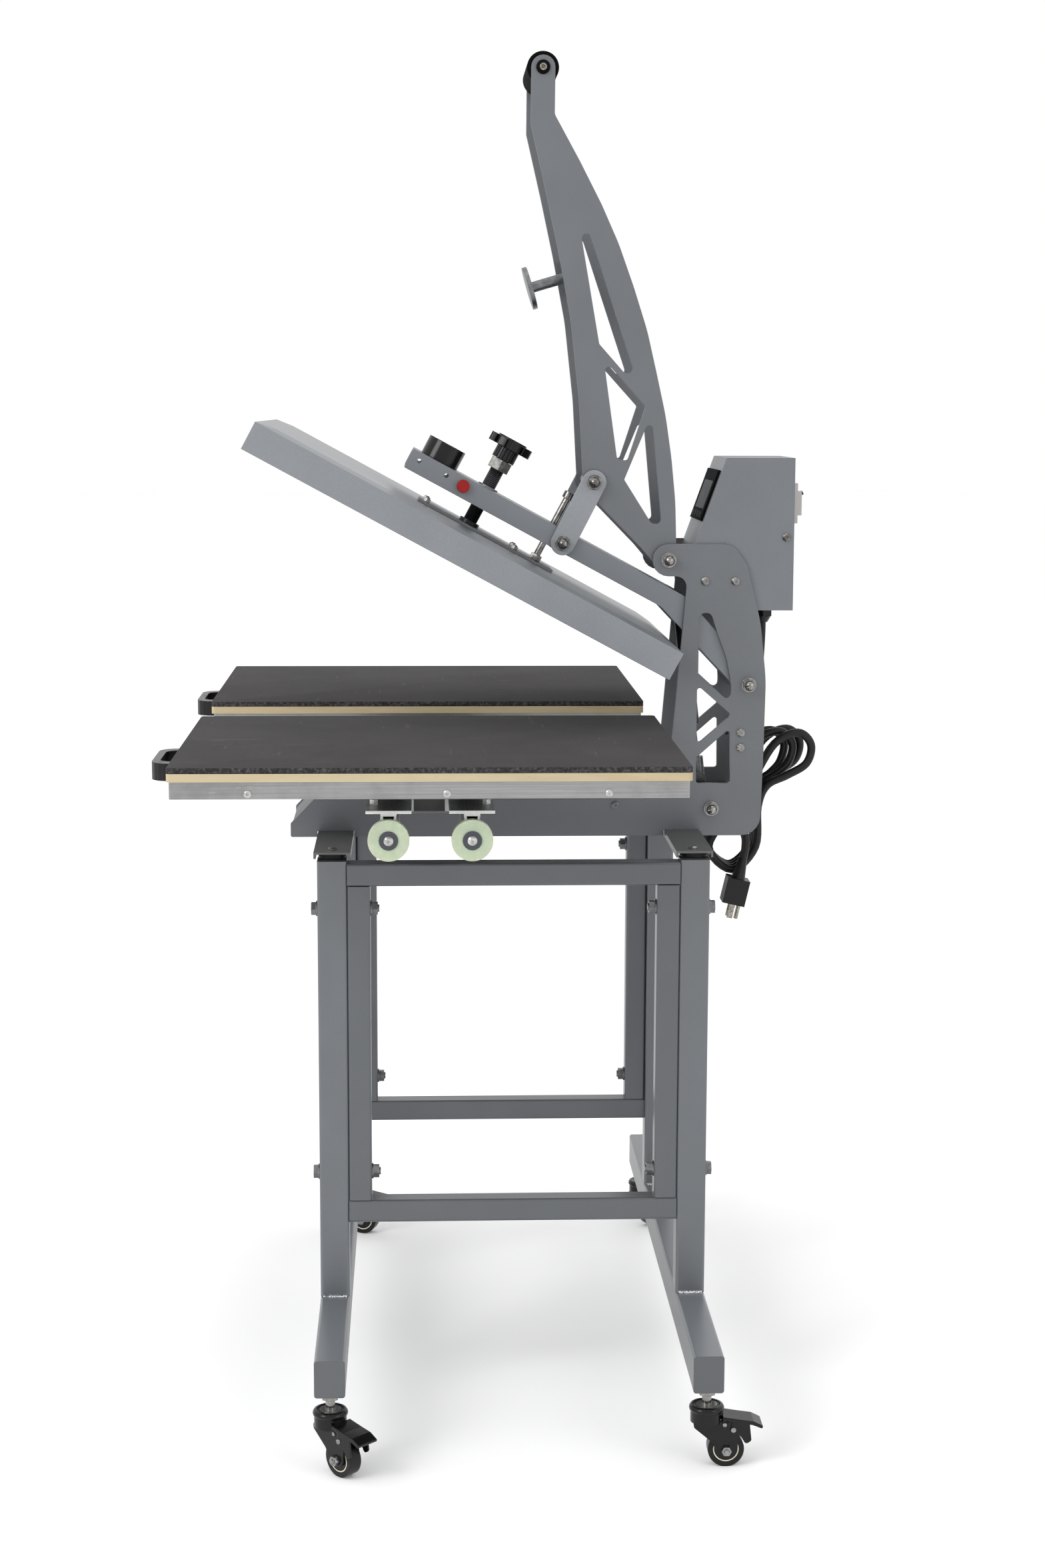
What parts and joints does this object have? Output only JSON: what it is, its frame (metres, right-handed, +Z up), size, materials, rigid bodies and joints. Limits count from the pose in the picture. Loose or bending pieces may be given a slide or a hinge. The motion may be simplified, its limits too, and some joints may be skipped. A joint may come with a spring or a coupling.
{
  "type": "dual station heat press",
  "caption": "Shuttle heat press on a wheeled stand: two padded platens slide under a hinged heat head worked by a long toggle lever.",
  "frame": {"origin": "on the floor under the middle of the press's box, cord left out", "axes": "-Y is the operator's side, +X the operator's right, +Z up"},
  "size_m": [0.949, 0.7296, 1.4765],
  "materials": {
    "grey_paint": "satin blue-grey powder coat",
    "dark_grey_paint": "satin dark grey powder coat",
    "link_paint": "satin light grey paint",
    "black_paint": "gloss black",
    "zinc_steel": "zinc plated",
    "bright_steel": "polished stainless",
    "black_steel": "black oxide",
    "bare_aluminium": "brushed",
    "cream_board": "smooth mineral board",
    "grey_foam": "closed-cell silicone foam",
    "black_rubber": "matt",
    "yellow_bumper": "translucent polyurethane",
    "black_plastic": "gloss",
    "light_plastic": "fine grain",
    "red_plastic": "gloss",
    "green_plastic": "solder mask",
    "insulation_felt": "fibre felt"
  },
  "bodies": {
    "stand": {"foot_tubes": "grey_paint", "legs": "grey_paint", "side_frames": "grey_paint", "stand_bolts": "zinc_steel", "foot_channels": "dark_grey_paint", "rubber_feet": "black_rubber", "right_side_plate": "grey_paint", "left_side_plate": "grey_paint", "base_cover": "grey_paint", "bearing_tray": "dark_grey_paint", "bearing_blocks": "bare_aluminium", "cross_shafts": "zinc_steel", "acorn_nuts": "bright_steel", "column_screws": "bright_steel", "control_box": "grey_paint", "display_unit": "black_plastic", "breaker_body": "light_plastic", "control_electronics": "green_plastic", "cord_gland": "black_plastic", "cord_lead": "black_rubber", "cord_hank": "black_rubber", "cord_tail": "black_rubber", "power_plug": "black_plastic", "caster_stems": "zinc_steel"},
    "shuttle": {"shuttle_plate": "grey_paint", "linear_rails": "bare_aluminium", "platen_frames": "bare_aluminium", "platen_boards": "cream_board", "press_pads": "grey_foam", "platen_handles": "black_plastic", "rail_bumpers": "yellow_bumper", "shuttle_screws": "zinc_steel"},
    "arm": {"press_arm": "grey_paint", "electromagnet": "black_paint"},
    "lever": {"lever_plates": "grey_paint", "lever_grip": "black_rubber", "armature": "zinc_steel"},
    "links": {"toggle_links": "link_paint"},
    "head": {"head_cover": "grey_paint", "heating_plate": "bare_aluminium", "insulation": "insulation_felt", "head_mount": "grey_paint"},
    "screw": {"pressure_screw": "black_steel", "pressure_knob": "black_plastic"},
    "button": {"push_button": "red_plastic"},
    "toggle": {"breaker_toggle": "black_plastic"},
    "strut_lower": {"strut_rod": "zinc_steel"},
    "strut_upper": {"strut_cylinder": "black_paint"},
    "right_front_caster": {"right_front_fork": "black_paint"},
    "right_front_wheel": {"right_front_wheel": "black_plastic"},
    "right_front_pedal": {"right_front_pedal": "black_plastic"},
    "right_rear_caster": {"right_rear_fork": "black_paint"},
    "right_rear_wheel": {"right_rear_wheel": "black_plastic"},
    "right_rear_pedal": {"right_rear_pedal": "black_plastic"},
    "left_front_caster": {"left_front_fork": "black_paint"},
    "left_front_wheel": {"left_front_wheel": "black_plastic"},
    "left_front_pedal": {"left_front_pedal": "black_plastic"},
    "left_rear_caster": {"left_rear_fork": "black_paint"},
    "left_rear_wheel": {"left_rear_wheel": "black_plastic"},
    "left_rear_pedal": {"left_rear_pedal": "black_plastic"}
  },
  "joints": [
    {"name": "shuttle_slide", "type": "slide", "parent": "stand", "child": "shuttle", "axis": [1, 0, 0], "range_m": [-0.271, 0.271]},
    {"name": "arm_hinge", "type": "hinge", "parent": "stand", "child": "arm", "pos_m": [0, 0.28847, 0.7849], "axis": [1, 0, 0], "range_deg": [0, 28.3], "stiffness_Nm_per_rad": 75, "springref_deg": -57.3},
    {"name": "lever_hinge", "type": "hinge", "parent": "stand", "child": "lever", "pos_m": [0, 0.19637, 0.925], "axis": [1, 0, 0], "range_deg": [0, 73.6]},
    {"name": "link_hinge", "type": "hinge", "parent": "arm", "child": "links", "pos_m": [0, 0.07763, 0.94386], "axis": [1, 0, 0], "range_deg": [-56.2, 0]},
    {"name": "strut_foot_hinge", "type": "hinge", "parent": "stand", "child": "strut_lower", "pos_m": [0, 0.23975, 0.6705], "axis": [1, 0, 0], "range_deg": [0, 12]},
    {"name": "strut_slide", "type": "slide", "parent": "strut_lower", "child": "strut_upper", "axis": [0, -0.1177, 0.9931], "range_m": [-0.0362, 0]},
    {"name": "head_slide", "type": "slide", "parent": "arm", "child": "head", "axis": [0, 0.4741, 0.8805], "range_m": [-0.0025, 0]},
    {"name": "pressure_screw_turn", "type": "hinge", "parent": "head", "child": "screw", "pos_m": [0, -0.00594, 1.00021], "axis": [0, 0.4741, 0.8805], "range_deg": [-451, 0]},
    {"name": "button_push", "type": "slide", "parent": "arm", "child": "button", "axis": [-1, 0, 0], "range_m": [0, 0.0022], "stiffness_N_per_m": 400, "springref_m": -0.002},
    {"name": "breaker_toggle_hinge", "type": "hinge", "parent": "stand", "child": "toggle", "pos_m": [0, 0.34675, 0.9945], "axis": [1, 0, 0], "range_deg": [-50, 0]},
    {"name": "right_front_swivel", "type": "hinge", "parent": "stand", "child": "right_front_caster", "pos_m": [0.383, -0.17725, 0.06], "axis": [0, 0, 1], "continuous": true},
    {"name": "right_front_roll", "type": "hinge", "parent": "right_front_caster", "child": "right_front_wheel", "pos_m": [0.39763, -0.16361, 0.019], "axis": [0.682, -0.7314, 0], "continuous": true},
    {"name": "right_front_brake", "type": "hinge", "parent": "right_front_caster", "child": "right_front_pedal", "pos_m": [0.40275, -0.15884, 0.042], "axis": [0.682, -0.7314, 0], "range_deg": [-12, 0]},
    {"name": "right_rear_swivel", "type": "hinge", "parent": "stand", "child": "right_rear_caster", "pos_m": [0.383, 0.21475, 0.06], "axis": [0, 0, 1], "continuous": true},
    {"name": "right_rear_roll", "type": "hinge", "parent": "right_rear_caster", "child": "right_rear_wheel", "pos_m": [0.383, 0.23475, 0.019], "axis": [1, 0, 0], "continuous": true},
    {"name": "right_rear_brake", "type": "hinge", "parent": "right_rear_caster", "child": "right_rear_pedal", "pos_m": [0.383, 0.24175, 0.042], "axis": [1, 0, 0], "range_deg": [-12, 0]},
    {"name": "left_front_swivel", "type": "hinge", "parent": "stand", "child": "left_front_caster", "pos_m": [-0.383, -0.17725, 0.06], "axis": [0, 0, 1], "continuous": true},
    {"name": "left_front_roll", "type": "hinge", "parent": "left_front_caster", "child": "left_front_wheel", "pos_m": [-0.37616, -0.15846, 0.019], "axis": [0.9397, -0.342, 0], "continuous": true},
    {"name": "left_front_brake", "type": "hinge", "parent": "left_front_caster", "child": "left_front_pedal", "pos_m": [-0.37377, -0.15188, 0.042], "axis": [0.9397, -0.342, 0], "range_deg": [-12, 0]},
    {"name": "left_rear_swivel", "type": "hinge", "parent": "stand", "child": "left_rear_caster", "pos_m": [-0.383, 0.21475, 0.06], "axis": [0, 0, 1], "continuous": true},
    {"name": "left_rear_roll", "type": "hinge", "parent": "left_rear_caster", "child": "left_rear_wheel", "pos_m": [-0.39447, 0.23113, 0.019], "axis": [0.8192, 0.5736, 0], "continuous": true},
    {"name": "left_rear_brake", "type": "hinge", "parent": "left_rear_caster", "child": "left_rear_pedal", "pos_m": [-0.39849, 0.23687, 0.042], "axis": [0.8192, 0.5736, 0], "range_deg": [-12, 0]}
  ],
  "couplings": [
    {"joint": "lever_hinge", "follows": "arm_hinge", "ratio": 2.5972},
    {"joint": "link_hinge", "follows": "arm_hinge", "ratio": -1.9703},
    {"joint": "strut_foot_hinge", "follows": "arm_hinge", "ratio": 0.41863},
    {"joint": "strut_slide", "follows": "arm_hinge", "m_per_rad": -0.072655},
    {"joint": "pressure_screw_turn", "follows": "head_slide", "rad_per_m": 3141.6}
  ]
}
